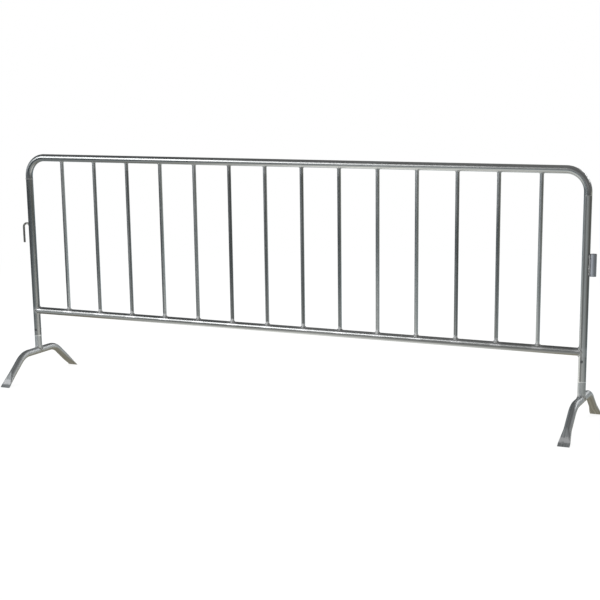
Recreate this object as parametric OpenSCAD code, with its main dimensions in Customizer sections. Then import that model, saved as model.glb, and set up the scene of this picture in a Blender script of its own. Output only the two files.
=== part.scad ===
// Crowd control barrier: a welded tube frame with upright pickets, a hook and a
// sleeve that link it to its neighbours, and two bridge feet that turn under
// its posts and pull off. X runs along the barrier, Y across it and Z up. The
// origin is on the ground, at the middle of the overall length and width.

/* [Frame] */
// Length of the frame over the outer sides of its posts
frame_l = 2591; // [1500:1:3200]
// Height of the top of the frame above the ground
frame_h = 1027; // [800:1:1400]
// Outer diameter of the rails, the posts and the feet
tube_od = 31.75; // [25:0.05:40]
// Wall of the rails, the posts and the feet
tube_wall = 1.5; // [1:0.1:2.5]
// Radius of the two top corners, to the middle of the tube
corner_r = 85; // [45:1:140]
// Straight tail of the top rail below each corner, down to its weld to the post
tail_l = 11; // [2:1:60]
// Height of the middle of the bottom rail above the lower end of the posts
bottom_rail_rise = 116; // [80:1:250]

/* [Pickets] */
// Number of pickets
picket_count = 14; // [4:1:20]
// Outer diameter of a picket
picket_od = 15.9; // [10:0.1:22]
// Wall of a picket
picket_wall = 1.2; // [0.8:0.1:2]
// Distance from the middle of a post to the middle of the nearest picket
end_gap = 180.5; // [155:0.5:260]

/* [Hook and sleeve] */
// Height of the top of the sleeve, where the hook's bend begins as well
link_z = 694; // [550:1:800]
// Diameter of the hook's rod
hook_d = 9.5; // [6:0.5:12]
// Distance from the middle of the post to the middle of the hook's leg
hook_reach = 46; // [38:1:60]
// Length of the hook's straight leg
hook_leg = 70; // [40:1:120]
// Bevel at the tip of the hook's leg
hook_bevel = 1; // [0.5:0.1:2]
// Length of the sleeve
sleeve_l = 86; // [50:1:140]
// Outer diameter of the sleeve
sleeve_od = 25.4; // [20:0.1:34]
// Wall of the sleeve
sleeve_wall = 2; // [1.2:0.1:3]

/* [Feet] */
// Width of a foot over the tips of its lips
foot_w = 538; // [450:1:800]
// Height of the top of a foot's bridge above the ground
foot_h = 138; // [120:1:170]
// Height of the joint between post and foot above the top of the bridge
joint_rise = 57; // [45:1:120]
// Slope of a foot's legs below the horizontal
leg_slope = 40; // [35:1:50]
// Radius of the two bends in a foot, to the middle of the tube
foot_bend_r = 105; // [60:1:120]
// Length of the stretch that is pressed from round to flat
flare_l = 62; // [30:1:70]
// Length of the flat lip
lip_l = 15; // [10:1:25]
// Gap left between the two walls of a pressed lip
lip_gap = 0.2; // [0.1:0.1:0.6]
// Hole that vents the bridge into the riser
vent_d = 10; // [6:1:16]

/* [Foot joint] */
// Wall of the spigot, the inner tube that joins a post to its foot
spigot_wall = 2; // [1.5:0.1:3]
// Clearance all round the spigot, in the post and in the riser
spigot_play = 0.3; // [0.2:0.05:0.6]
// Space between the lower end of the spigot and the top of the bridge
spigot_lift = 7; // [3:1:20]
// Length of spigot above the upper of the two cross bolts
spigot_edge = 18; // [10:1:40]
// Thickness of the ring between post and riser
ring_t = 3; // [1:0.5:6]
// How far the ring stands out beyond the tubes
ring_proud = 0.4; // [0:0.1:1.5]
// Height of the left cross bolt above the lower end of its post
left_bolt_rise = 25; // [12:1:60]
// Height of the right cross bolt above the lower end of its post
right_bolt_rise = 80; // [12:1:90]
// Thread diameter of the cross bolts
bolt_d = 6; // [5:0.5:8]
// Width across the flats of the bolt heads and the nuts
bolt_af = 10; // [9:0.5:13]
// Height of a bolt head
bolt_head_h = 4; // [3:0.5:6]
// Height of a nut
nut_h = 5; // [4:0.5:7]
// Length of thread that stands out of a nut
thread_out = 3; // [1:0.5:10]

/* [Hidden] */
$fn = 96;
root_gap = 0.2; // space at the root of a weld, before the bead
seat_gap = 0.05; // between a bolt head or a nut and the round of the post
hole_play = 0.3; // all round a cross bolt, in the post and the spigot
thread_play = 0.1; // all round the thread, in a nut
over = 1; // what a cut runs past the solid that it cuts
head_bevel = 0.2; // bevelled share of the height of a bolt head or a nut
head_face = 0.92; // diameter of its end face, as a share of its width across the flats
hull_fn = 32; // sides of a pressed end
collar = 0.5; // how far a leg laps its bend, and a pressed flare its leg
leg_step = 0.02; // how far the leg stands off the bend where it laps it
flare_step = 0.05; // how far the flare stands off the bend's own radius where it laps the leg

frame_steel = [0.50, 0.52, 0.50];
foot_zinc = [0.60, 0.63, 0.66];
bright_zinc = [0.80, 0.82, 0.83];
dark_bolt = [0.35, 0.36, 0.38];

tube_id = tube_od - 2 * tube_wall;
post_span = frame_l - tube_od;
top_rail_z = frame_h - tube_od / 2;
weld_z = top_rail_z - corner_r - tail_l;
post_end_z = foot_h + joint_rise;
bottom_rail_z = post_end_z + bottom_rail_rise;
picket_pitch = (post_span - 2 * end_gap) / (picket_count - 1);

// the hook reaches further out than the sleeve does, so the posts stand to the right of the middle
sleeve_reach = tube_od / 2 + root_gap + sleeve_od / 2;
middle_x = (hook_reach + hook_d / 2 - sleeve_reach - sleeve_od / 2) / 2;
left_x = middle_x - post_span / 2;
right_x = middle_x + post_span / 2;

// the hook's bend is wide enough for its far end to run into the post
hook_bury = 6;
hook_bend_r = (hook_reach - tube_od / 2 + hook_bury) / 2;

bridge_z = foot_h - tube_od / 2;
leg_z = bridge_z - foot_bend_r * (1 - cos(leg_slope));
leg_l = leg_z / sin(leg_slope);
lip_t = 2 * tube_wall + lip_gap;
// a pressed lip is as wide as half the tube's wall, laid flat
lip_w = PI * (tube_od - 2 * tube_wall) / 2 + 2 * tube_wall;
flat_half = foot_w / 2 - foot_bend_r * sin(leg_slope) - leg_l * cos(leg_slope)
            - lip_t / 2 / sin(leg_slope);

spigot_od = tube_id - 2 * spigot_play;
spigot_low_z = foot_h + spigot_lift;
spigot_top_z = post_end_z + max(left_bolt_rise, right_bolt_rise) + spigot_edge;
riser_top_z = post_end_z - ring_t;
hole_d = bolt_d + 2 * hole_play;
bolt_l = tube_od + 2 * seat_gap + nut_h + thread_out;

function picket_name(i) = str("picket_", i < 10 ? "0" : "", i);
picket_names = [for (i = [1:picket_count]) picket_name(i)];

// Straight tube that stands on the XY plane
module tube(od, wall, l) {
    difference() {
        cylinder(d = od, h = l);
        translate([0, 0, -over]) cylinder(d = od - 2 * wall, h = l + 2 * over);
    }
}

// Solid rod along X, centred
module rod_x(d, l) {
    rotate([0, 90, 0]) cylinder(d = d, h = l, center = true);
}

// Solid rod along Y, centred
module rod_y(d, l) {
    rotate([90, 0, 0]) cylinder(d = d, h = l, center = true);
}

// Six-sided prism with the corners of its upper end taken off
module hex_head(af, h) {
    corner_d = af / cos(30);
    bevel_h = head_bevel * h;
    intersection() {
        cylinder(d = corner_d, h = h, $fn = 6);
        union() {
            cylinder(d = corner_d + over, h = h - bevel_h);
            translate([0, 0, h - bevel_h]) cylinder(d1 = corner_d, d2 = head_face * af, h = bevel_h);
        }
    }
}

// What a post takes out of a tube that is coped onto it
module post_cut(x) {
    translate([x, 0, 0]) cylinder(d = tube_od + 2 * root_gap, h = frame_h);
}

// Hole for a cross bolt
module bolt_hole(x, z) {
    translate([x, 0, z]) rod_y(hole_d, tube_od + 2 * over);
}

// Top rail, as a solid rod: each half is a straight, a bend and a tail
module bow_rod(d, tail_over) {
    straight_half = post_span / 2 - corner_r;
    for (side = [0, 1]) translate([middle_x, 0, top_rail_z - corner_r]) mirror([side, 0, 0]) {
        translate([straight_half, 0, corner_r]) rotate([0, -90, 0]) cylinder(d = d, h = straight_half);
        translate([straight_half, 0, 0])
            rotate([90, 0, 0]) rotate_extrude(angle = 90) translate([corner_r, 0]) circle(d = d);
        translate([straight_half + corner_r, 0, 0]) rotate([180, 0, 0])
            cylinder(d = d, h = tail_l + tail_over);
    }
}

module top_rail() {
    color(frame_steel) difference() {
        bow_rod(tube_od, 0);
        bow_rod(tube_id, over);
    }
}

// Post, butt welded to a tail of the top rail
module post(x, bolt_z) {
    color(frame_steel) difference() {
        translate([x, 0, post_end_z]) tube(tube_od, tube_wall, weld_z - root_gap - post_end_z);
        bolt_hole(x, bolt_z);
    }
}

// Bottom rail, coped onto both posts
module bottom_rail() {
    color(frame_steel) difference() {
        translate([middle_x, 0, bottom_rail_z]) rod_x(tube_od, post_span);
        translate([middle_x, 0, bottom_rail_z]) rod_x(tube_id, post_span + 2 * over);
        post_cut(left_x);
        post_cut(right_x);
    }
}

// Picket i, counted from the left, coped onto both rails
module picket(i) {
    x = left_x + end_gap + (i - 1) * picket_pitch;
    color(frame_steel) difference() {
        translate([x, 0, bottom_rail_z]) tube(picket_od, picket_wall, top_rail_z - bottom_rail_z);
        for (rail_z = [bottom_rail_z, top_rail_z])
            translate([x, 0, rail_z]) rod_x(tube_od + 2 * root_gap, 2 * picket_od);
    }
}

// Hook: a leg that hangs beside the left post, and a bend that runs into the post
module hook() {
    color(frame_steel) difference() {
        translate([left_x - hook_reach, 0, link_z]) {
            translate([0, 0, -hook_leg]) cylinder(d1 = hook_d - 2 * hook_bevel, d2 = hook_d, h = hook_bevel);
            translate([0, 0, hook_bevel - hook_leg]) cylinder(d = hook_d, h = hook_leg - hook_bevel);
            translate([hook_bend_r, 0, 0]) rotate([90, 0, 0])
                rotate_extrude(angle = 180) translate([hook_bend_r, 0]) circle(d = hook_d);
        }
        post_cut(left_x);
    }
}

// Sleeve beside the right post
module sleeve() {
    color(bright_zinc) translate([right_x + sleeve_reach, 0, link_z - sleeve_l])
        tube(sleeve_od, sleeve_wall, sleeve_l);
}

// Spigot: held in the post by the cross bolt, with its lower end in the riser
module spigot(x, bolt_z) {
    color(foot_zinc) difference() {
        translate([x, 0, spigot_low_z]) tube(spigot_od, spigot_wall, spigot_top_z - spigot_low_z);
        bolt_hole(x, bolt_z);
    }
}

module lock_bolt(x, z) {
    color(dark_bolt) translate([x, -tube_od / 2 - seat_gap, z]) {
        rotate([90, 0, 0]) hex_head(bolt_af, bolt_head_h);
        rotate([-90, 0, 0]) cylinder(d = bolt_d, h = bolt_l);
    }
}

module lock_nut(x, z) {
    color(dark_bolt) translate([x, tube_od / 2 + seat_gap, z]) rotate([-90, 0, 0]) difference() {
        hex_head(bolt_af, nut_h);
        translate([0, 0, -over]) cylinder(d = bolt_d + 2 * thread_play, h = nut_h + 2 * over);
    }
}

// Ring between the post and the riser, loose on the spigot
module ring(x) {
    ring_od = tube_od + 2 * ring_proud;
    color(bright_zinc) translate([x, 0, riser_top_z])
        tube(ring_od, (ring_od - spigot_od) / 2 - spigot_play, ring_t);
}

// Riser, coped onto the bridge
module riser(x) {
    color(foot_zinc) difference() {
        translate([x, 0, bridge_z]) tube(tube_od, tube_wall, riser_top_z - bridge_z);
        translate([x, 0, bridge_z]) rod_y(tube_od + 2 * root_gap, 2 * tube_od);
    }
}

// Flat outline with round ends
module slot_outline(w, t) {
    square([w - t, t], center = true);
    for (side = [-1, 1]) translate([side * (w - t) / 2, 0]) circle(d = t, $fn = hull_fn);
}

// Stretch from a round end at the XY plane to a flat end that is w by t, flare_l above it
module flare(round_r, w, t) {
    hull() {
        translate([0, 0, -collar]) cylinder(r = round_r, h = collar, $fn = hull_fn);
        translate([0, 0, flare_l]) linear_extrude(collar) slot_outline(w, t);
    }
}

// Places a child whose +Z runs down the leg on the +Y side, from the lower end of the bend
module down_leg() {
    translate([0, flat_half, bridge_z - foot_bend_r]) rotate([-leg_slope, 0, 0])
        translate([0, 0, foot_bend_r]) rotate([-90, 0, 0]) children();
}

// Round part of a bridge, as a solid rod: each half is a straight, a bend and a leg
module bridge_rod(d) {
    for (side = [0, 1]) mirror([0, side, 0]) {
        translate([0, flat_half, bridge_z]) rotate([90, 0, 0]) cylinder(d = d, h = flat_half);
        translate([0, flat_half, bridge_z - foot_bend_r]) rotate([0, -90, 0])
            rotate_extrude(angle = leg_slope) translate([foot_bend_r, 0]) circle(d = d);
        down_leg() translate([0, 0, -collar])
            cylinder(d = d + 2 * leg_step, h = leg_l - flare_l - lip_l + collar);
    }
}

// Bridge: a bent tube whose ends are pressed flat and cut off level with the ground
module bridge(x) {
    color(foot_zinc) translate([x, 0, 0]) difference() {
        union() {
            bridge_rod(tube_od);
            for (side = [0, 1]) mirror([0, side, 0]) down_leg() {
                translate([0, 0, leg_l - flare_l - lip_l])
                    flare((tube_od / 2 + flare_step) / cos(180 / hull_fn), lip_w, lip_t);
                translate([0, 0, leg_l - lip_l])
                    linear_extrude(lip_l + lip_w) slot_outline(lip_w, lip_t);
            }
        }
        bridge_rod(tube_id);
        for (side = [0, 1]) mirror([0, side, 0]) down_leg()
            translate([0, 0, leg_l - flare_l - lip_l])
                flare(tube_id / 2 - flare_step, lip_w - 2 * tube_wall, lip_gap);
        translate([0, 0, bridge_z]) cylinder(d = vent_d, h = tube_od);
        translate([0, 0, -foot_w / 2]) cube([2 * lip_w, 2 * foot_w, foot_w], center = true);
    }
}

top_rail();
post(left_x, post_end_z + left_bolt_rise);  // left_post
post(right_x, post_end_z + right_bolt_rise);  // right_post
bottom_rail();
for (i = [1:picket_count])
    picket(i);
hook();
sleeve();
spigot(left_x, post_end_z + left_bolt_rise);  // left_spigot
spigot(right_x, post_end_z + right_bolt_rise);  // right_spigot
lock_bolt(left_x, post_end_z + left_bolt_rise);  // left_lock_bolt
lock_bolt(right_x, post_end_z + right_bolt_rise);  // right_lock_bolt
lock_nut(left_x, post_end_z + left_bolt_rise);  // left_lock_nut
lock_nut(right_x, post_end_z + right_bolt_rise);  // right_lock_nut
ring(left_x);  // left_ring
ring(right_x);  // right_ring
riser(left_x);  // left_riser
riser(right_x);  // right_riser
bridge(left_x);  // left_bridge
bridge(right_x);  // right_bridge
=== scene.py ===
import math

import bpy
from mathutils import Matrix, Vector


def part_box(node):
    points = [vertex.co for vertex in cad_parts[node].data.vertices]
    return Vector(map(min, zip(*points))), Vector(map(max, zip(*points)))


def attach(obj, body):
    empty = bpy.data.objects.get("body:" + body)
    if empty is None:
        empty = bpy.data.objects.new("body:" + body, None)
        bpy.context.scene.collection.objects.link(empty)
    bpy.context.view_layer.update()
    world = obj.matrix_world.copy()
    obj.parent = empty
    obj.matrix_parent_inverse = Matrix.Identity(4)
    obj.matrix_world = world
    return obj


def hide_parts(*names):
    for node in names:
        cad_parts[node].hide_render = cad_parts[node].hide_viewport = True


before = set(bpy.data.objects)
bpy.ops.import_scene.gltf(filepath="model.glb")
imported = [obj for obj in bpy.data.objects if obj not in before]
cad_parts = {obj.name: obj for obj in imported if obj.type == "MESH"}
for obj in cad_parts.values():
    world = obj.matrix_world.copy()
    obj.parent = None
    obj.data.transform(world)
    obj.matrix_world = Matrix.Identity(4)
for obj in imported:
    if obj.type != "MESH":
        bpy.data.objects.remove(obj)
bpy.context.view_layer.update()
print("frame loaded with", len(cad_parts), "nodes")


# places that the frame gives
def midOf(node):
    low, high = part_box(node)
    return (low + high) / 2


postLow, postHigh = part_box("left_post")
tubeR = (postHigh.x - postLow.x) / 2
leftX, rightX = midOf("left_post").x, midOf("right_post").x
midX = (leftX + rightX) / 2
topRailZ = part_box("top_rail")[1].z - tubeR
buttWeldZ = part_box("top_rail")[0].z
lowRailZ = midOf("bottom_rail").z
picketNodes = sorted(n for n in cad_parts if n.startswith("picket_"))
picketXs = [midOf(n).x for n in picketNodes]
picketR = (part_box(picketNodes[0])[1].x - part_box(picketNodes[0])[0].x) / 2
picketPitch = picketXs[1] - picketXs[0]
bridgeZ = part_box("left_bridge")[1].z - tubeR
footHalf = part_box("left_bridge")[1].y


# small helpers for node trees
def addNode(tree, kind, **settings):
    node = tree.nodes.new(kind)
    for key, value in settings.items():
        setattr(node, key, value)
    return node


def feed(tree, socket, value):
    if isinstance(value, bpy.types.NodeSocket):
        tree.links.new(value, socket)
    elif value is not None:
        socket.default_value = value


def calc(tree, operation, a, b=None, c=None, clamp=False):
    node = addNode(tree, "ShaderNodeMath", operation=operation, use_clamp=clamp)
    for socket, value in zip(node.inputs, (a, b, c)):
        feed(tree, socket, value)
    return node.outputs[0]


def calcVector(tree, operation, a, b=None, scale=None):
    node = addNode(tree, "ShaderNodeVectorMath", operation=operation)
    feed(tree, node.inputs[0], a)
    feed(tree, node.inputs[1], b)
    if scale is not None:
        feed(tree, node.inputs["Scale"], scale)
    return node.outputs["Value" if operation in ("DOT_PRODUCT", "LENGTH", "DISTANCE") else "Vector"]


def spread(tree, value, low, high, smooth=True, toLow=0.0, toHigh=1.0):
    node = addNode(tree, "ShaderNodeMapRange", interpolation_type="SMOOTHSTEP" if smooth else "LINEAR")
    for label, amount in (("Value", value), ("From Min", low), ("From Max", high),
                          ("To Min", toLow), ("To Max", toHigh)):
        feed(tree, node.inputs[label], amount)
    return node.outputs["Result"]


def joinXyz(tree, x, y, z):
    node = addNode(tree, "ShaderNodeCombineXYZ")
    for socket, value in zip(node.inputs, (x, y, z)):
        feed(tree, socket, value)
    return node.outputs[0]


def blendColor(tree, share, a, b):
    node = addNode(tree, "ShaderNodeMix", data_type="RGBA")
    feed(tree, node.inputs[0], share)
    feed(tree, node.inputs[6], a)
    feed(tree, node.inputs[7], b)
    return node.outputs[2]


def newTree(kind, name, inputs, outputs):
    tree = bpy.data.node_groups.new(name, kind)
    for label, socketType, value in inputs:
        socket = tree.interface.new_socket(label, in_out="INPUT", socket_type=socketType)
        if value is not None:
            socket.default_value = value
    for label, socketType in outputs:
        tree.interface.new_socket(label, in_out="OUTPUT", socket_type=socketType)
    return tree, tree.nodes.new("NodeGroupInput").outputs, tree.nodes.new("NodeGroupOutput").inputs


# sizes of the marks in drawn zinc, in metres across the tube and along it; cells are spangles in each metre
zincMarks = dict(broad=(0.010, 2.2), fine=(0.0034, 1.1), bloom=(0.05, 0.30), cells=(150, 150, 70),
                 broadShare=2.6, fineShare=2.0, bloomShare=2.0, cellShare=1.2)


def makeZincSkin():
    # drawn zinc: long streaks down the tube, soft bloom, small spangle; Z of the vector runs along the tube
    tree, given, out = newTree("ShaderNodeTree", "zincSkin", [
        ("Vector", "NodeSocketVector", None),
        ("Dark", "NodeSocketColor", (0.2, 0.2, 0.2, 1)),
        ("Pale", "NodeSocketColor", (0.6, 0.6, 0.6, 1)),
        ("Streaks", "NodeSocketFloat", 0.6),
        ("Bloom", "NodeSocketFloat", 0.3),
        ("Spangle", "NodeSocketFloat", 0.2),
        ("Smooth", "NodeSocketFloat", 0.2),
        ("Dull", "NodeSocketFloat", 0.4)],
        [("Color", "NodeSocketColor"), ("Roughness", "NodeSocketFloat"), ("Height", "NodeSocketFloat")])

    def noiseAt(across, along, detail):
        stretched = calcVector(tree, "MULTIPLY", given["Vector"], (1 / across, 1 / across, 1 / along))
        node = addNode(tree, "ShaderNodeTexNoise")
        feed(tree, node.inputs["Vector"], stretched)
        node.inputs["Scale"].default_value = 1
        node.inputs["Detail"].default_value = detail
        return node.outputs["Fac"]

    broad = noiseAt(*zincMarks["broad"], 0)
    fine = noiseAt(*zincMarks["fine"], 1)
    bloom = noiseAt(*zincMarks["bloom"], 1)
    cells = addNode(tree, "ShaderNodeTexVoronoi", feature="F1")
    feed(tree, cells.inputs["Vector"], calcVector(tree, "MULTIPLY", given["Vector"], zincMarks["cells"]))
    cells.inputs["Scale"].default_value = 1
    shade = calcVector(tree, "DOT_PRODUCT", cells.outputs["Color"], (0.33, 0.33, 0.33))  # the cell's grey

    def about(value, amount):
        return calc(tree, "MULTIPLY", calc(tree, "SUBTRACT", value, 0.5), amount)

    streak = calc(tree, "ADD", about(broad, zincMarks["broadShare"]), about(fine, zincMarks["fineShare"]))
    tone = calc(tree, "MULTIPLY_ADD", streak, given["Streaks"], 0.5)
    clouds = calc(tree, "MULTIPLY", about(bloom, zincMarks["bloomShare"]), given["Bloom"])
    tone = calc(tree, "ADD", tone, clouds)
    flecks = calc(tree, "MULTIPLY", about(shade, zincMarks["cellShare"]), given["Spangle"])
    tone = calc(tree, "ADD", tone, flecks, clamp=True)
    feed(tree, out["Color"], blendColor(tree, tone, given["Dark"], given["Pale"]))
    dullness = calc(tree, "MULTIPLY_ADD", about(bloom, 1.6), 0.7, calc(tree, "SUBTRACT", 0.6, about(fine, 0.8)))
    feed(tree, out["Roughness"], spread(tree, dullness, 0.2, 1, False, given["Smooth"], given["Dull"]))
    height = calc(tree, "ADD", about(broad, 1.0), about(fine, 0.55))
    fleckHeight = calc(tree, "MULTIPLY", shade, 0.1)
    feed(tree, out["Height"], calc(tree, "MULTIPLY_ADD", fleckHeight, given["Spangle"], height))
    return tree


raggedEdge = dict(scale=160, detail=4, depth=1.6)


def makePaintAndSheenMask():
    # pale band, 1 at its middle and ragged towards its reach: zinc-rich paint brushed over a weld, and on the
    # bridge a painted highlight
    tree, given, out = newTree("ShaderNodeTree", "weldPaint", [
        ("Vector", "NodeSocketVector", None), ("Distance", "NodeSocketFloat", 1.0),
        ("Reach", "NodeSocketFloat", 0.02)], [("Mask", "NodeSocketFloat")])
    ragged = addNode(tree, "ShaderNodeTexNoise")
    feed(tree, ragged.inputs["Vector"], given["Vector"])
    ragged.inputs["Scale"].default_value = raggedEdge["scale"]
    ragged.inputs["Detail"].default_value = raggedEdge["detail"]
    share = calc(tree, "DIVIDE", given["Distance"], given["Reach"])
    offset = calc(tree, "SUBTRACT", ragged.outputs["Fac"], 0.5)
    share = calc(tree, "ADD", share, calc(tree, "MULTIPLY", offset, raggedEdge["depth"]))
    feed(tree, out["Mask"], spread(tree, share, 1.0, 0.55))
    return tree


zincSkin = makeZincSkin()
weldPaint = makePaintAndSheenMask()

frameZinc = dict(dark=(0.245, 0.25, 0.25, 1), pale=(0.71, 0.725, 0.725, 1), streaks=0.8, bloom=0.16,
                 spangle=0.0, smooth=0.19, dull=0.38, bump=0.0003)
footZinc = dict(dark=(0.40, 0.42, 0.43, 1), pale=(0.76, 0.785, 0.80, 1), streaks=0.6, bloom=0.35,
                spangle=0.10, smooth=0.38, dull=0.56, bump=0.0003)
sleeveZinc = dict(dark=(0.40, 0.42, 0.48, 1), pale=(0.74, 0.76, 0.82, 1), streaks=0.6, bloom=0.4,
                  spangle=0.2, smooth=0.28, dull=0.5, bump=0.0003)
hookZinc = dict(dark=(0.27, 0.26, 0.24, 1), pale=(0.58, 0.57, 0.55, 1), streaks=0.4, bloom=0.6,
                spangle=0.1, smooth=0.28, dull=0.5, bump=0.0002)
# the ring's near-white zinc is a painted highlight of the light its rim catches
ringHighlightZinc = dict(dark=(0.85, 0.86, 0.87, 1), pale=(0.98, 0.98, 0.98, 1), streaks=0.2, bloom=0.4,
                spangle=0.1, smooth=0.18, dull=0.35, bump=0.0001)
# the left post is a darker copy of the frame zinc and the right post a paler, more streaked one: painted shade
# and painted light of what each post mirrors
leftPostShadedZinc = {**frameZinc, "dark": (0.19, 0.195, 0.195, 1), "pale": (0.58, 0.59, 0.585, 1)}
rightPostLitZinc = {**frameZinc, "dark": (0.25, 0.255, 0.255, 1), "pale": (0.78, 0.79, 0.785, 1), "streaks": 1.0}
boltZinc = dict(dark=(0.08, 0.08, 0.085, 1), pale=(0.26, 0.27, 0.28, 1), streaks=0.2, bloom=0.7,
                spangle=0.2, smooth=0.3, dull=0.55, bump=0.0001)
weldZinc = dict(dark=(0.40, 0.40, 0.395, 1), pale=(0.84, 0.845, 0.835, 1), streaks=0.0, bloom=1.0,
                spangle=0.4, smooth=0.3, dull=0.6, bump=0.0002)
# the sleeve welds' near-black and near-white speckle is weld texture, and also painted glints and painted shade
# in the hollows of the lumpy bead
seamSpeckleAndGlint = dict(dark=(0.10, 0.10, 0.10, 1), pale=(0.95, 0.95, 0.95, 1), streaks=0.0, bloom=0.6,
                spangle=1.0, smooth=0.2, dull=0.5, bump=0.0002)
# the pale bands' colour and roughness, and the up-facing mask that makes them partly a painted highlight
paintAndSheenLook = dict(color=(0.84, 0.845, 0.86, 1), roughness=0.62, faceFrom=-0.1, faceTo=0.4)


def makeFinish(name, look, run, seams=(), topSheen=False):
    # run says how the streaks lie: along "z", along "x", or "bent" for a tube that carries its own straightCo;
    # the last flag keeps the pale bands to the faces that look up, a painted highlight of light falling from
    # above
    mat = bpy.data.materials.new(name)
    mat.use_nodes = True
    tree = mat.node_tree
    shader = tree.nodes["Principled BSDF"]
    coordinates = addNode(tree, "ShaderNodeTexCoord").outputs
    place = coordinates["Object"]
    apart = addNode(tree, "ShaderNodeSeparateXYZ")
    feed(tree, apart.inputs[0], place)
    x, y, z = apart.outputs
    if run == "bent":
        along = addNode(tree, "ShaderNodeAttribute", attribute_name="straightCo").outputs["Vector"]
    elif run == "x":
        along = joinXyz(tree, y, z, x)
    else:
        along = place
    skin = addNode(tree, "ShaderNodeGroup", node_tree=zincSkin)
    feed(tree, skin.inputs["Vector"], along)
    for label in ("Dark", "Pale", "Streaks", "Bloom", "Spangle", "Smooth", "Dull"):
        skin.inputs[label].default_value = look[label.lower()]
    color, rough = skin.outputs["Color"], skin.outputs["Roughness"]
    for axis, bandAt, reach, strength, *pitch in seams:
        distance = calc(tree, "ABSOLUTE", calc(tree, "SUBTRACT", z if axis == "z" else x, bandAt))
        if pitch:
            distance = calc(tree, "PINGPONG", distance, pitch[0] / 2)
        paleBand = addNode(tree, "ShaderNodeGroup", node_tree=weldPaint)
        feed(tree, paleBand.inputs["Vector"], place)
        feed(tree, paleBand.inputs["Distance"], distance)
        paleBand.inputs["Reach"].default_value = reach
        share = calc(tree, "MULTIPLY", paleBand.outputs["Mask"], strength)
        # keeping a band to the faces that look up paints it as a highlight of light from above
        if topSheen:
            upFacingSheen = calcVector(tree, "DOT_PRODUCT", coordinates["Normal"], (0, 0, 1))
            upFacingSheen = spread(tree, upFacingSheen, paintAndSheenLook["faceFrom"], paintAndSheenLook["faceTo"])
            share = calc(tree, "MULTIPLY", share, upFacingSheen)
        color = blendColor(tree, share, color, paintAndSheenLook["color"])
        rough = calc(tree, "MAXIMUM", rough, calc(tree, "MULTIPLY", share, paintAndSheenLook["roughness"]))
    feed(tree, shader.inputs["Base Color"], color)
    feed(tree, shader.inputs["Roughness"], rough)
    shader.inputs["Metallic"].default_value = 1.0
    bump = addNode(tree, "ShaderNodeBump")
    bump.inputs["Strength"].default_value = 0.6
    bump.inputs["Distance"].default_value = look["bump"]
    feed(tree, bump.inputs["Height"], skin.outputs["Height"])
    feed(tree, shader.inputs["Normal"], bump.outputs["Normal"])
    return mat


# each band is (axis, its place on that axis, reach, strength and, where it repeats, its pitch); the bands are
# pale weld paint, partly a painted highlight where kept to the faces that look up, and on the bridge wholly a
# painted highlight
# the post finishes carry the painted shade (left) and painted light (right)
leftPostShadedFinish = makeFinish("leftPostShadedZinc", leftPostShadedZinc, "z", [("z", lowRailZ, 0.02, 0.3)])
rightPostLitFinish = makeFinish("rightPostLitZinc", rightPostLitZinc, "z", [("z", lowRailZ, 0.02, 0.3)])
picketZinc = makeFinish("picketZinc", frameZinc, "z", [("z", lowRailZ + tubeR, 0.016, 0.85),
                                                       ("z", topRailZ - tubeR, 0.036, 0.42)])
# pale weld paint round each picket's foot, kept to the rail's up-facing side, so that it is also a painted
# highlight of light from above
lowRailZinc = makeFinish("lowRailZinc", frameZinc, "x", [("x", picketXs[0], 0.030, 0.5, picketPitch)],
                         topSheen=True)
topRailZinc = makeFinish("topRailZinc", frameZinc, "bent")
riserZinc = makeFinish("riserZinc", footZinc, "z", [("z", bridgeZ + tubeR, 0.012, 0.3)])
# a painted highlight: the pale band about 21 mm above the ground on the bridge's up-facing faces, just above
# the pressed lip
bridgeZinc = makeFinish("bridgeZinc", footZinc, "bent", [("z", 0.021, 0.012, 0.9)], topSheen=True)
spigotZinc = makeFinish("spigotZinc", footZinc, "z")
sleeveFinish = makeFinish("sleeveZinc", sleeveZinc, "z")
hookFinish = makeFinish("hookZinc", hookZinc, "z")
ringHighlightFinish = makeFinish("ringHighlightZinc", ringHighlightZinc, "z")
boltFinish = makeFinish("boltZinc", boltZinc, "z")
weldFinish = makeFinish("weldZinc", weldZinc, "z")
seamSpeckleAndGlintFinish = makeFinish("seamSpeckleAndGlint", seamSpeckleAndGlint, "z")

for node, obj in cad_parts.items():
    kind = node.split("_", 1)[-1] if node.startswith(("left_", "right_")) else node.split("_")[0]
    finish = {"picket": picketZinc, "bottom": lowRailZinc, "riser": riserZinc,
              "spigot": spigotZinc, "sleeve": sleeveFinish, "ring": ringHighlightFinish, "hook": hookFinish,
              "lock_bolt": boltFinish, "lock_nut": boltFinish}.get(kind)
    if finish is None:
        finish = leftPostShadedFinish if node == "left_post" else rightPostLitFinish
    obj.data.materials.clear()
    obj.data.materials.append(finish)
print("finishes made")


# bent tubes: the top rail and both bridges
def bentLine(corners, radius, step, straightStep=None):
    # points along a line through the corners, each inner corner rounded to the radius
    line = [corners[0]]
    for before, corner, after in zip(corners, corners[1:], corners[2:]):
        inward, outward = (corner - before).normalized(), (after - corner).normalized()
        turn = inward.angle(outward)
        start = corner - inward * radius * math.tan(turn / 2)
        side = (outward - inward * outward.dot(inward)).normalized()
        count = max(2, round(radius * turn / step))
        if straightStep:
            pieces = max(1, round((start - line[-1]).length / straightStep))
            line += [line[-1].lerp(start, i / pieces) for i in range(1, pieces)]
        for i in range(count + 1):
            a = turn * i / count
            line.append(start + inward * radius * math.sin(a) + side * radius * (1 - math.cos(a)))
    last = corners[-1]
    if straightStep:
        pieces = max(1, round((last - line[-1]).length / straightStep))
        line += [line[-1].lerp(last, i / pieces) for i in range(1, pieces)]
    return line + [last]


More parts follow.
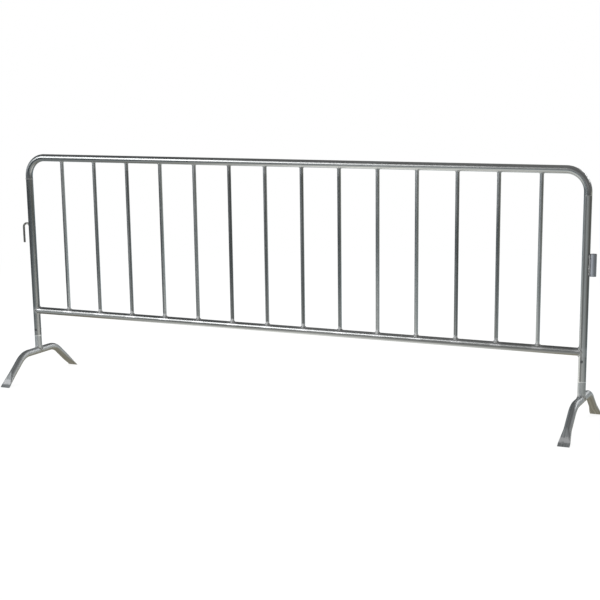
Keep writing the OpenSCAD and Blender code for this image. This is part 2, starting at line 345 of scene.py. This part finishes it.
def lineMesh(name, lines, sizes=None, closed=False):
    # plain edges for a node tree to sweep; sizes gives a bead's radius at each point
    points, edges = [], []
    for line in lines:
        first = len(points)
        points += line
        edges += [(first + i, first + i + 1) for i in range(len(line) - 1)]
        if closed:
            edges.append((first + len(line) - 1, first))
    mesh = bpy.data.meshes.new(name)
    mesh.from_pydata([tuple(p) for p in points], edges, [])
    if sizes:
        beadR = mesh.attributes.new("beadR", "FLOAT", "POINT")
        beadR.data.foreach_set("value", [size for row in sizes for size in row])
    return mesh


def makeFromTree(name, base, tree, **values):
    # runs a geometry tree on a base mesh and keeps the result as a plain mesh
    obj = bpy.data.objects.new(name, base)
    bpy.context.scene.collection.objects.link(obj)
    build = obj.modifiers.new("build", "NODES")
    build.node_group = tree
    wanted = dict(values)
    for item in tree.interface.items_tree:
        if item.in_out == "INPUT" and item.name.replace(" ", "") in wanted:
            build[item.identifier] = wanted.pop(item.name.replace(" ", ""))
    assert not wanted, wanted
    graph = bpy.context.evaluated_depsgraph_get()
    mesh = bpy.data.meshes.new_from_object(obj.evaluated_get(graph), preserve_all_data_layers=True,
                                           depsgraph=graph)
    obj.modifiers.clear()
    obj.data = mesh
    mesh.name = name
    print(name, "has", len(mesh.polygons), "faces")
    return obj


def makeBentTubeTree():
    tree, given, out = newTree("GeometryNodeTree", "bentTube", [
        ("Geometry", "NodeSocketGeometry", None), ("Side", "NodeSocketVector", (0, 1, 0)),
        ("Tube Radius", "NodeSocketFloat", 0.016), ("Sides", "NodeSocketInt", 64),
        ("Ripple Depth", "NodeSocketFloat", 0.0), ("Ripple Length", "NodeSocketFloat", 0.008),
        ("Bend Start", "NodeSocketFloat", 0.0), ("Bend End", "NodeSocketFloat", 1.0),
        ("Press Length", "NodeSocketFloat", 0.03), ("Lip Length", "NodeSocketFloat", 0.018),
        ("Lip Thickness", "NodeSocketFloat", 0.003), ("Press", "NodeSocketFloat", 0.0),
        ("Finish", "NodeSocketMaterial", None)], [("Geometry", "NodeSocketGeometry")])
    path = addNode(tree, "GeometryNodeMeshToCurve")
    feed(tree, path.inputs["Mesh"], given["Geometry"])

    def keep(geometry, socketType, value):
        node = addNode(tree, "GeometryNodeCaptureAttribute")
        node.capture_items.new(socketType, "kept")
        feed(tree, node.inputs[0], geometry)
        feed(tree, node.inputs[1], value)
        return node.outputs[0], node.outputs[1]

    parameter = addNode(tree, "GeometryNodeSplineParameter")
    curve, centre = keep(path.outputs[0], "VECTOR", addNode(tree, "GeometryNodeInputPosition").outputs[0])
    curve, tangent = keep(curve, "VECTOR", addNode(tree, "GeometryNodeInputTangent").outputs[0])
    curve, along = keep(curve, "FLOAT", parameter.outputs["Length"])
    curve, total = keep(curve, "FLOAT", addNode(tree, "GeometryNodeSplineLength").outputs["Length"])
    ring = addNode(tree, "GeometryNodeCurvePrimitiveCircle")
    feed(tree, ring.inputs["Resolution"], given["Sides"])
    feed(tree, ring.inputs["Radius"], given["Tube Radius"])
    roundRing = addNode(tree, "GeometryNodeSplineParameter").outputs["Factor"]
    profile, around = keep(ring.outputs[0], "FLOAT", roundRing)
    sweep = addNode(tree, "GeometryNodeCurveToMesh")
    feed(tree, sweep.inputs["Curve"], curve)
    feed(tree, sweep.inputs["Profile Curve"], profile)
    sweep.inputs["Fill Caps"].default_value = True

    # section: a circle pressed to a slot with the same length of wall
    toEnd = calc(tree, "MINIMUM", along, calc(tree, "SUBTRACT", total, along))
    lipEnd = given["Lip Length"]
    pressed = spread(tree, toEnd, calc(tree, "ADD", lipEnd, given["Press Length"]), lipEnd, False)
    softPressed = calc(tree, "SMOOTH_MIN", pressed, 1.0, 0.12)
    softPressed = calc(tree, "MULTIPLY", calc(tree, "MAXIMUM", softPressed, 0), given["Press"])
    full = calc(tree, "MULTIPLY", given["Tube Radius"], 2)
    thick = calc(tree, "MULTIPLY_ADD", calc(tree, "SUBTRACT", given["Lip Thickness"], full), softPressed, full)
    flat = calc(tree, "MULTIPLY", calc(tree, "SUBTRACT", full, thick), math.pi / 2)
    quarter = calc(tree, "MULTIPLY_ADD", thick, math.pi / 4, calc(tree, "MULTIPLY", flat, 0.5))
    share = calc(tree, "PINGPONG", calc(tree, "MULTIPLY_ADD", around, 4, -1), 1)
    reach = calc(tree, "MULTIPLY", share, quarter)
    halfFlat, halfThick = calc(tree, "MULTIPLY", flat, 0.5), calc(tree, "MULTIPLY", thick, 0.5)
    turn = calc(tree, "DIVIDE", calc(tree, "MAXIMUM", calc(tree, "SUBTRACT", reach, halfFlat), 0), halfThick)
    across = calc(tree, "MULTIPLY_ADD", calc(tree, "SINE", turn), halfThick,
                  calc(tree, "MINIMUM", reach, halfFlat))
    up = calc(tree, "MULTIPLY", calc(tree, "COSINE", turn), halfThick)
    angle = calc(tree, "MULTIPLY", around, 2 * math.pi)
    cosine, sine = calc(tree, "COSINE", angle), calc(tree, "SINE", angle)

    # faint ripples that the bending leaves on the inner and outer sides
    inBend = calc(tree, "MULTIPLY",
                  spread(tree, toEnd, given["Bend Start"], calc(tree, "ADD", given["Bend Start"], 0.02)),
                  spread(tree, toEnd, given["Bend End"], calc(tree, "SUBTRACT", given["Bend End"], 0.02)))
    waves = calc(tree, "DIVIDE", calc(tree, "MULTIPLY", along, 2 * math.pi), given["Ripple Length"])
    wave = calc(tree, "SINE", waves)
    uneven = addNode(tree, "ShaderNodeTexNoise", noise_dimensions="1D")
    unevenLength = calc(tree, "MULTIPLY", given["Ripple Length"], 1.6)
    feed(tree, uneven.inputs["W"], calc(tree, "DIVIDE", along, unevenLength))
    uneven.inputs["Scale"].default_value = 1
    depth = calc(tree, "MULTIPLY", calc(tree, "MULTIPLY_ADD", wave, 0.5, 0.5), uneven.outputs[0])
    depth = calc(tree, "MULTIPLY", calc(tree, "MULTIPLY", depth, inBend), given["Ripple Depth"])
    depth = calc(tree, "MULTIPLY", depth, calc(tree, "POWER", calc(tree, "ABSOLUTE", sine), 1.5))
    shrink = calc(tree, "SUBTRACT", 1, calc(tree, "DIVIDE", depth, given["Tube Radius"]))

    across = calc(tree, "MULTIPLY", calc(tree, "MULTIPLY", across, calc(tree, "SIGN", cosine)), shrink)
    up = calc(tree, "MULTIPLY", calc(tree, "MULTIPLY", up, calc(tree, "SIGN", sine)), shrink)
    normal = calcVector(tree, "NORMALIZE", calcVector(tree, "CROSS_PRODUCT", tangent, given["Side"]))
    place = calcVector(tree, "ADD", centre, calcVector(tree, "SCALE", given["Side"], scale=across))
    place = calcVector(tree, "ADD", place, calcVector(tree, "SCALE", normal, scale=up))

    # a pressed end is cut off level with the ground: its last ring slides along the leg to height 0
    apart, slope = addNode(tree, "ShaderNodeSeparateXYZ"), addNode(tree, "ShaderNodeSeparateXYZ")
    feed(tree, apart.inputs[0], place)
    feed(tree, slope.inputs[0], tangent)
    slide = calc(tree, "MULTIPLY", calc(tree, "DIVIDE", apart.outputs[2], slope.outputs[2]), -1)
    isEnd = calc(tree, "MULTIPLY", calc(tree, "LESS_THAN", toEnd, 1e-5), given["Press"])
    slide = calc(tree, "MULTIPLY", slide, isEnd)
    place = calcVector(tree, "ADD", place, calcVector(tree, "SCALE", tangent, scale=slide))
    setPlace = addNode(tree, "GeometryNodeSetPosition")
    feed(tree, setPlace.inputs["Geometry"], sweep.outputs[0])
    feed(tree, setPlace.inputs["Position"], place)

    straight = joinXyz(tree, calc(tree, "MULTIPLY", cosine, given["Tube Radius"]),
                       calc(tree, "MULTIPLY", sine, given["Tube Radius"]), along)
    store = addNode(tree, "GeometryNodeStoreNamedAttribute", data_type="FLOAT_VECTOR", domain="POINT")
    store.inputs["Name"].default_value = "straightCo"
    feed(tree, store.inputs["Geometry"], setPlace.outputs[0])
    feed(tree, store.inputs["Value"], straight)
    corners = addNode(tree, "GeometryNodeInputMeshFaceNeighbors").outputs["Vertex Count"]
    notCap = addNode(tree, "FunctionNodeCompare", data_type="INT", operation="LESS_THAN")
    feed(tree, notCap.inputs[2], corners)
    notCap.inputs[3].default_value = 5
    smooth = addNode(tree, "GeometryNodeSetShadeSmooth")
    feed(tree, smooth.inputs["Geometry"], store.outputs[0])
    feed(tree, smooth.inputs["Shade Smooth"], notCap.outputs[0])
    real = addNode(tree, "GeometryNodeRealizeInstances")
    feed(tree, real.inputs[0], smooth.outputs[0])
    finish = addNode(tree, "GeometryNodeSetMaterial")
    feed(tree, finish.inputs["Geometry"], real.outputs[0])
    feed(tree, finish.inputs["Material"], given["Finish"])
    feed(tree, out["Geometry"], finish.outputs[0])
    return tree


bentTube = makeBentTubeTree()

topRail = dict(cornerR=0.085, bendStep=0.0022, sides=64, rippleDepth=0.0004, rippleLength=0.0085)
railCorners = [Vector((leftX, 0, buttWeldZ)), Vector((leftX, 0, topRailZ)),
               Vector((rightX, 0, topRailZ)), Vector((rightX, 0, buttWeldZ))]
tailL = topRailZ - topRail["cornerR"] - buttWeldZ
railLine = bentLine(railCorners, topRail["cornerR"], topRail["bendStep"])
rail = makeFromTree("top_rail_bent", lineMesh("topRailLine", [railLine]), bentTube,
                    Side=(0, 1, 0), TubeRadius=tubeR, Sides=topRail["sides"],
                    RippleDepth=topRail["rippleDepth"], RippleLength=topRail["rippleLength"],
                    BendStart=tailL, BendEnd=tailL + topRail["cornerR"] * math.pi / 2, Finish=topRailZinc)
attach(rail, "frame")
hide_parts("top_rail")

bridge = dict(bendR=0.105, slope=math.radians(40), pressL=0.062, lipL=0.015, lipT=0.0032,
              bendStep=0.0025, legStep=0.003, sides=64)


def bridgeLine(x):
    # the tip's outer edge is at the CAD foot's width, so its middle is half a sloping lip further in
    slope = bridge["slope"]
    tipY = footHalf - 0.0005 - bridge["lipT"] / 2 / math.sin(slope)
    shoulderY = tipY - bridgeZ / math.tan(slope)
    corners = [(x, -tipY, 0), (x, -shoulderY, bridgeZ), (x, shoulderY, bridgeZ), (x, tipY, 0)]
    return bentLine([Vector(c) for c in corners], bridge["bendR"], bridge["bendStep"], bridge["legStep"])


for side, x in (("left", leftX), ("right", rightX)):
    foot = makeFromTree(side + "_bridge_pressed", lineMesh(side + "BridgeLine", [bridgeLine(x)]), bentTube,
                        Side=(1, 0, 0), TubeRadius=tubeR, Sides=bridge["sides"], PressLength=bridge["pressL"],
                        LipLength=bridge["lipL"], LipThickness=bridge["lipT"], Press=1.0, Finish=bridgeZinc)
    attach(foot, side + "_foot")
    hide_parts(side + "_bridge")

print("top rail and bridges made")


# weld beads: the radius of each kind, then what they share
weld = dict(picketR=0.0024, topR=0.0015, railR=0.0026, buttR=0.0016, hookR=0.0016, sleeveR=0.0044, footR=0.0022,
            ripple=0.0019, rippleDepth=0.16, lump=0.0007, lumpScale=260, step=0.0006, sides=8, inset=0.35,
            loopPoints=72, hookPoints=36, groundFlush=0.65)


def makeBeadTree():
    tree, given, out = newTree("GeometryNodeTree", "weldBead", [
        ("Geometry", "NodeSocketGeometry", None), ("Step", "NodeSocketFloat", 0.0006),
        ("Sides", "NodeSocketInt", 8), ("Ripple", "NodeSocketFloat", 0.002),
        ("Ripple Depth", "NodeSocketFloat", 0.15), ("Lump", "NodeSocketFloat", 0.0005),
        ("Seed", "NodeSocketFloat", 3.0), ("Finish", "NodeSocketMaterial", None)],
        [("Geometry", "NodeSocketGeometry")])
    path = addNode(tree, "GeometryNodeMeshToCurve")
    feed(tree, path.inputs["Mesh"], given["Geometry"])
    evened = addNode(tree, "GeometryNodeResampleCurve", mode="LENGTH")
    feed(tree, evened.inputs["Curve"], path.outputs[0])
    feed(tree, evened.inputs["Length"], given["Step"])
    along = addNode(tree, "GeometryNodeSplineParameter").outputs["Length"]
    size = addNode(tree, "GeometryNodeInputNamedAttribute", data_type="FLOAT")
    size.inputs["Name"].default_value = "beadR"
    wave = calc(tree, "SINE", calc(tree, "DIVIDE", calc(tree, "MULTIPLY", along, 2 * math.pi), given["Ripple"]))
    swell = calc(tree, "MULTIPLY_ADD", wave, given["Ripple Depth"], 1)
    ring = addNode(tree, "GeometryNodeCurvePrimitiveCircle")
    feed(tree, ring.inputs["Resolution"], given["Sides"])
    ring.inputs["Radius"].default_value = 1
    sweep = addNode(tree, "GeometryNodeCurveToMesh")
    feed(tree, sweep.inputs["Curve"], evened.outputs[0])
    feed(tree, sweep.inputs["Profile Curve"], ring.outputs[0])
    feed(tree, sweep.inputs["Scale"], calc(tree, "MULTIPLY", size.outputs[0], swell))
    sweep.inputs["Fill Caps"].default_value = True
    rough = addNode(tree, "ShaderNodeTexNoise", noise_dimensions="4D")
    feed(tree, rough.inputs["W"], given["Seed"])
    rough.inputs["Scale"].default_value = weld["lumpScale"]
    rough.inputs["Detail"].default_value = 2
    push = calc(tree, "MULTIPLY", calc(tree, "SUBTRACT", rough.outputs[0], 0.5),
                calc(tree, "MULTIPLY", given["Lump"], 2))
    setPlace = addNode(tree, "GeometryNodeSetPosition")
    feed(tree, setPlace.inputs["Geometry"], sweep.outputs[0])
    feed(tree, setPlace.inputs["Offset"],
         calcVector(tree, "SCALE", addNode(tree, "GeometryNodeInputNormal").outputs[0], scale=push))
    smooth = addNode(tree, "GeometryNodeSetShadeSmooth")
    feed(tree, smooth.inputs["Geometry"], setPlace.outputs[0])
    real = addNode(tree, "GeometryNodeRealizeInstances")
    feed(tree, real.inputs[0], smooth.outputs[0])
    finish = addNode(tree, "GeometryNodeSetMaterial")
    feed(tree, finish.inputs["Geometry"], real.outputs[0])
    feed(tree, finish.inputs["Material"], given["Finish"])
    feed(tree, out["Geometry"], finish.outputs[0])
    return tree


def saddleLoop(centre, tubeAxis, runAxis, smallR, bigR, bead):
    # where a tube of smallR along tubeAxis meets one of bigR along runAxis, a little outside both
    third = tubeAxis.cross(runAxis)
    small, big = smallR + bead * weld["inset"], bigR + bead * weld["inset"]
    loop = []
    for i in range(weld["loopPoints"]):
        a = math.tau * i / weld["loopPoints"]
        rise = math.sqrt(max(big ** 2 - (small * math.sin(a)) ** 2, 0))
        loop.append(centre + runAxis * small * math.cos(a) + third * small * math.sin(a) + tubeAxis * rise)
    return loop


def roundLoop(centre, radius):
    turns = [math.tau * i / weld["loopPoints"] for i in range(weld["loopPoints"])]
    return [centre + Vector((math.cos(a), math.sin(a), 0)) * radius for a in turns]


beadTree = makeBeadTree()
xAxis, yAxis, zAxis = Vector((1, 0, 0)), Vector((0, 1, 0)), Vector((0, 0, 1))
loops, sizes = [], []


def addLoop(loop, bead):
    loops.append(loop)
    sizes.append([bead] * len(loop))


def hookRoot(bead):
    # the loop round the hook's rod where its bend runs into the post
    low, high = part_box("hook")
    rodR = high.y
    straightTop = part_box("sleeve")[1].z
    bendR = high.z - rodR - straightTop
    middle = Vector((low.x + rodR + bendR, 0, straightTop))
    turn = math.acos(-(leftX - tubeR - middle.x) / bendR)
    root = middle + Vector((-math.cos(turn), 0, math.sin(turn))) * bendR
    inward = Vector((math.sin(turn), 0, math.cos(turn)))
    upward = inward.cross(yAxis)
    loop = []
    for i in range(weld["hookPoints"]):
        a = math.tau * i / weld["hookPoints"]
        start = root + (yAxis * math.cos(a) + upward * math.sin(a)) * (rodR + bead * weld["inset"])
        depth = math.sqrt((tubeR + bead * weld["inset"]) ** 2 - start.y ** 2)
        loop.append(start + inward * ((leftX - depth - start.x) / inward.x))
    return loop


def sleeveSeam(side, bead, count=40):
    # an upright run of weld in the valley between post and sleeve, thicker where the torch stopped
    low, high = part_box("sleeve")
    sleeveR = (high.x - low.x) / 2
    apart = (low.x + high.x) / 2 - rightX
    toPost, toSleeve = tubeR + bead * weld["inset"], sleeveR + bead * weld["inset"]
    x = (apart ** 2 + toPost ** 2 - toSleeve ** 2) / (2 * apart)
    y = math.sqrt(max(toPost ** 2 - x ** 2, 0))
    run, size = [], []
    for i in range(count + 1):
        t = i / count
        run.append(Vector((rightX + x, side * y, low.z + 0.002 + (high.z - low.z - 0.004) * t)))
        size.append(bead * (0.35 + 0.65 * min(1, t * 12, (1 - t) * 12)) * (1 + 0.35 * math.sin(9 * t + side)))
    return run, size


for x in picketXs:
    for z, axis, bead in ((lowRailZ, zAxis, weld["picketR"]), (topRailZ, -zAxis, weld["topR"])):
        addLoop(saddleLoop(Vector((x, 0, z)), axis, xAxis, picketR, tubeR, bead), bead)
for x, axis in ((leftX, xAxis), (rightX, -xAxis)):
    addLoop(saddleLoop(Vector((x, 0, lowRailZ)), axis, zAxis, tubeR, tubeR, weld["railR"]), weld["railR"])
addLoop(hookRoot(weld["hookR"]), weld["hookR"])
# the left butt weld stands proud on its outer side, the right one is ground nearly flush
for x, proud in ((leftX, True), (rightX, False)):
    loop = roundLoop(Vector((x, 0, buttWeldZ)), tubeR - weld["buttR"] * 0.5)
    loops.append(loop)
    sizes.append([weld["buttR"] * (1 + max(0, (x - p.x) / tubeR) ** 2 if proud else weld["groundFlush"])
                  for p in loop])
frameWelds = makeFromTree("frame_welds", lineMesh("frameSeams", loops, sizes, closed=True), beadTree,
                          Step=weld["step"], Sides=weld["sides"], Ripple=weld["ripple"],
                          RippleDepth=weld["rippleDepth"], Lump=weld["lump"], Seed=3.0, Finish=weldFinish)
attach(frameWelds, "frame")

# the sleeve's two runs are coarser than the rest
runs = [sleeveSeam(side, weld["sleeveR"]) for side in (-1, 1)]
sleeveLine = lineMesh("sleeveSeams", [run for run, size in runs], [size for run, size in runs])
sleeveWelds = makeFromTree("sleeve_welds", sleeveLine, beadTree, Step=weld["step"], Sides=weld["sides"],
                           Ripple=weld["ripple"] * 1.4, RippleDepth=weld["rippleDepth"] * 1.3,
                           Lump=weld["lump"] * 3, Seed=8.0, Finish=seamSpeckleAndGlintFinish)
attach(sleeveWelds, "frame")

for side, x in (("left", leftX), ("right", rightX)):
    bead = weld["footR"]
    loop = saddleLoop(Vector((x, 0, bridgeZ)), zAxis, yAxis, tubeR, tubeR, bead)
    seam = lineMesh(side + "FootSeam", [loop], [[bead] * len(loop)], closed=True)
    footWelds = makeFromTree(side + "_foot_weld", seam, beadTree,
                             Step=weld["step"], Sides=weld["sides"], Ripple=weld["ripple"],
                             RippleDepth=weld["rippleDepth"], Lump=weld["lump"], Seed=5.0, Finish=weldFinish)
    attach(footWelds, side + "_foot")
print("welds made")


# floor, light and camera
def emitter(tree, color, strength):
    node = addNode(tree, "ShaderNodeEmission")
    feed(tree, node.inputs["Color"], color)
    feed(tree, node.inputs["Strength"], strength)
    return node.outputs[0]


def mixShader(tree, share, a, b):
    node = addNode(tree, "ShaderNodeMixShader")
    feed(tree, node.inputs[0], share)
    feed(tree, node.inputs[1], a)
    feed(tree, node.inputs[2], b)
    return node.outputs[0]


floorLook = dict(size=60.0, glow=0.86, color=(0.22, 0.22, 0.22, 1), fadeFrom=2.2, fadeTo=5.0)

# painted reflection: for all but camera rays the floor glows as what the tubes mirror, a lit pool near the
# barrier, dimmer and bluer further off
mirrored = dict(poolAt=(0.1, -0.35, 0), poolShape=(0.45, 0.62, 1), poolFrom=0.4, poolTo=2.0, poolGlow=0.62,
                poolTint=(1.0, 1.0, 0.95, 1), frontGlow=0.115, backGlow=0.40, backFrom=0.3, backTo=2.2,
                dimFrom=-3.4, dimTo=-1.4, dimShare=0.4, underShape=(1 / 1.1, 1 / 0.7, 0), underFrom=0.3,
                underTo=1.2, underGlow=0.45, tintFrom=2.2, tintTo=4.6, nearTint=(0.72, 0.97, 1.10, 1),
                sideTint=(1.02, 1.02, 0.88, 1), brown=(0.52, 0.46, 0.32, 1), brownBehind=0.12,
                brownFrom=0.14, brownTo=0.5, brownShare=0.85)

floorMesh = bpy.data.meshes.new("floor")
half = floorLook["size"] / 2
corners = [(-half, -half, 0), (half, -half, 0), (half, half, 0), (-half, half, 0)]
floorMesh.from_pydata(corners, [], [(0, 1, 2, 3)])
floor = bpy.data.objects.new("floor", floorMesh)
bpy.context.scene.collection.objects.link(floor)
floorMat = bpy.data.materials.new("paleFloor")
floorMat.use_nodes = True
tree = floorMat.node_tree
tree.nodes.clear()
place = addNode(tree, "ShaderNodeTexCoord").outputs["Object"]
near = addNode(tree, "ShaderNodeBsdfDiffuse")
near.inputs["Color"].default_value = floorLook["color"]
lit = addNode(tree, "ShaderNodeAddShader")
feed(tree, lit.inputs[0], emitter(tree, (1, 1, 1, 1), floorLook["glow"]))
feed(tree, lit.inputs[1], near.outputs[0])
far = spread(tree, calcVector(tree, "LENGTH", place), floorLook["fadeFrom"], floorLook["fadeTo"])
seen = mixShader(tree, far, lit.outputs[0], emitter(tree, (1, 1, 1, 1), 1.0))
fromPool = calcVector(tree, "SUBTRACT", place, mirrored["poolAt"])
fromPool = calcVector(tree, "MULTIPLY", fromPool, mirrored["poolShape"])
fromPool = calcVector(tree, "LENGTH", fromPool)
pool = spread(tree, fromPool, mirrored["poolFrom"], mirrored["poolTo"], True, 1.0, 0.0)
across = addNode(tree, "ShaderNodeSeparateXYZ")
feed(tree, across.inputs[0], place)
farGlow = spread(tree, across.outputs[1], mirrored["backFrom"], mirrored["backTo"], True,
                 mirrored["frontGlow"], mirrored["backGlow"])
farDim = spread(tree, across.outputs[0], mirrored["dimFrom"], mirrored["dimTo"], True,
                mirrored["dimShare"], 1.0)
farGlow = calc(tree, "MULTIPLY", farGlow, farDim)
glow = spread(tree, pool, 0, 1, False, farGlow, mirrored["poolGlow"])
under = calcVector(tree, "LENGTH", calcVector(tree, "MULTIPLY", place, mirrored["underShape"]))
glow = calc(tree, "ADD", glow, spread(tree, under, mirrored["underFrom"], mirrored["underTo"], True,
                                      mirrored["underGlow"], 0.0))
toSide = spread(tree, across.outputs[0], mirrored["tintFrom"], mirrored["tintTo"])
farTint = blendColor(tree, toSide, mirrored["nearTint"], mirrored["sideTint"])
tint = blendColor(tree, pool, farTint, mirrored["poolTint"])
# painted reflection with painted shade: a darker brown patch close behind the feet, in the glow that only the
# tubes mirror
byFoot = joinXyz(tree, calc(tree, "SUBTRACT", calc(tree, "ABSOLUTE", across.outputs[0]), rightX),
                 calc(tree, "SUBTRACT", across.outputs[1], mirrored["brownBehind"]), 0)
brown = spread(tree, calcVector(tree, "LENGTH", byFoot), mirrored["brownFrom"], mirrored["brownTo"], True,
               mirrored["brownShare"], 0.0)
reflection = emitter(tree, blendColor(tree, brown, tint, mirrored["brown"]), glow)
isCamera = addNode(tree, "ShaderNodeLightPath").outputs["Is Camera Ray"]
feed(tree, addNode(tree, "ShaderNodeOutputMaterial").inputs["Surface"],
     mixShader(tree, isCamera, reflection, seen))
floorMesh.materials.append(floorMat)

# the room that the tubes mirror: brighter on one side of the horizon, dim overhead, an even grey floor
room = dict(brightAzimuth=33, brightFrom=-0.3, brightTo=0.95, horizonLow=0.14, horizonHigh=0.5,
            skyFrom=0.12, skyTo=0.5, ceiling=0.16, groundFrom=-0.22, groundTo=-0.6, ground=0.38, fill=0.7,
            coolSide=(0.92, 1.0, 1.05, 1), warmSide=(1.0, 1.0, 0.985, 1), warmFrom=-0.62, warmTo=-0.42)


def azimuthVector(azimuth, elevation=0):
    # 0 degrees is straight out from the front, 90 is off the hook's end
    a, e = math.radians(azimuth), math.radians(elevation)
    return Vector((-math.sin(a) * math.cos(e), -math.cos(a) * math.cos(e), math.sin(e)))


world = bpy.data.worlds.new("studioRoom")
bpy.context.scene.world = world
world.use_nodes = True
tree = world.node_tree
tree.nodes.clear()
direction = addNode(tree, "ShaderNodeTexCoord").outputs["Generated"]
apart = addNode(tree, "ShaderNodeSeparateXYZ")
feed(tree, apart.inputs[0], direction)
brightSide = calcVector(tree, "DOT_PRODUCT", direction, azimuthVector(room["brightAzimuth"]))
horizon = spread(tree, brightSide, room["brightFrom"], room["brightTo"], True,
                 room["horizonLow"], room["horizonHigh"])
sky = spread(tree, apart.outputs[2], room["skyFrom"], room["skyTo"], True, 1.0, 0.0)
upper = calc(tree, "MULTIPLY_ADD", sky, calc(tree, "SUBTRACT", horizon, room["ceiling"]), room["ceiling"])
ground = spread(tree, apart.outputs[2], room["groundFrom"], room["groundTo"])
glow = calc(tree, "MULTIPLY_ADD", ground, calc(tree, "SUBTRACT", room["ground"], upper), upper)
lightPath = addNode(tree, "ShaderNodeLightPath")
strength = calc(tree, "MULTIPLY_ADD", lightPath.outputs["Is Glossy Ray"],
                calc(tree, "SUBTRACT", glow, room["fill"]), room["fill"])
roomShader = addNode(tree, "ShaderNodeBackground")
toWarm = spread(tree, apart.outputs[0], room["warmFrom"], room["warmTo"])
feed(tree, roomShader.inputs["Color"], blendColor(tree, toWarm, room["coolSide"], room["warmSide"]))
feed(tree, roomShader.inputs["Strength"], strength)
white = addNode(tree, "ShaderNodeBackground")
white.inputs["Color"].default_value = (1, 1, 1, 1)
feed(tree, addNode(tree, "ShaderNodeOutputWorld").inputs["Surface"],
     mixShader(tree, lightPath.outputs["Is Camera Ray"], roomShader.outputs[0], white.outputs[0]))
bpy.context.scene.view_settings.view_transform = "Standard"

# place in metres from the middle of the barrier, angles in degrees; a level camera turned left and tipped down
view = dict(place=Vector((2.4491, -5.0221, 1.3776)), yaw=-24.017, pitch=12.403, roll=-0.44, lens=80.148,
            shiftX=-0.0517, shiftY=0.1097)
yaw, pitch, roll = (math.radians(view[turn]) for turn in ("yaw", "pitch", "roll"))
ahead = Vector((math.sin(yaw) * math.cos(pitch), math.cos(yaw) * math.cos(pitch), -math.sin(pitch)))
right = Vector((math.cos(yaw), -math.sin(yaw), 0))
above = right.cross(ahead)
right, above = (right * math.cos(roll) + above * math.sin(roll),
                above * math.cos(roll) - right * math.sin(roll))


# two panels that face a point over the middle of the barrier
panels = dict(keyLight=dict(azimuth=35, elevation=21, distance=8.5, width=5.4, height=3.8, power=190),
              backLight=dict(azimuth=215, elevation=25, distance=8.5, width=7.0, height=1.6, power=110))
aimHeight = 0.55


def softbox(name, azimuth, elevation, distance, width, height, power):
    away = azimuthVector(azimuth, elevation)
    light = bpy.data.lights.new(name, "AREA")
    light.shape, light.size, light.size_y = "RECTANGLE", width, height
    light.energy = power
    obj = bpy.data.objects.new(name, light)
    bpy.context.scene.collection.objects.link(obj)
    obj.location = Vector((midX, 0, aimHeight)) + away * distance
    obj.rotation_mode = "QUATERNION"
    obj.rotation_quaternion = (-away).to_track_quat("-Z", "Y")


for name, setting in panels.items():
    softbox(name, **setting)

cameraData = bpy.data.cameras.new("camera")
cameraData.sensor_width, cameraData.lens = 36, view["lens"]
cameraData.shift_x, cameraData.shift_y = view["shiftX"], view["shiftY"]
camera = bpy.data.objects.new("camera", cameraData)
bpy.context.scene.collection.objects.link(camera)
camera.location = view["place"] + Vector((midX, 0, 0))
camera.rotation_mode = "QUATERNION"
camera.rotation_quaternion = Matrix((right, above, -ahead)).transposed().to_quaternion()
bpy.context.scene.camera = camera
print("floor, light and camera set")
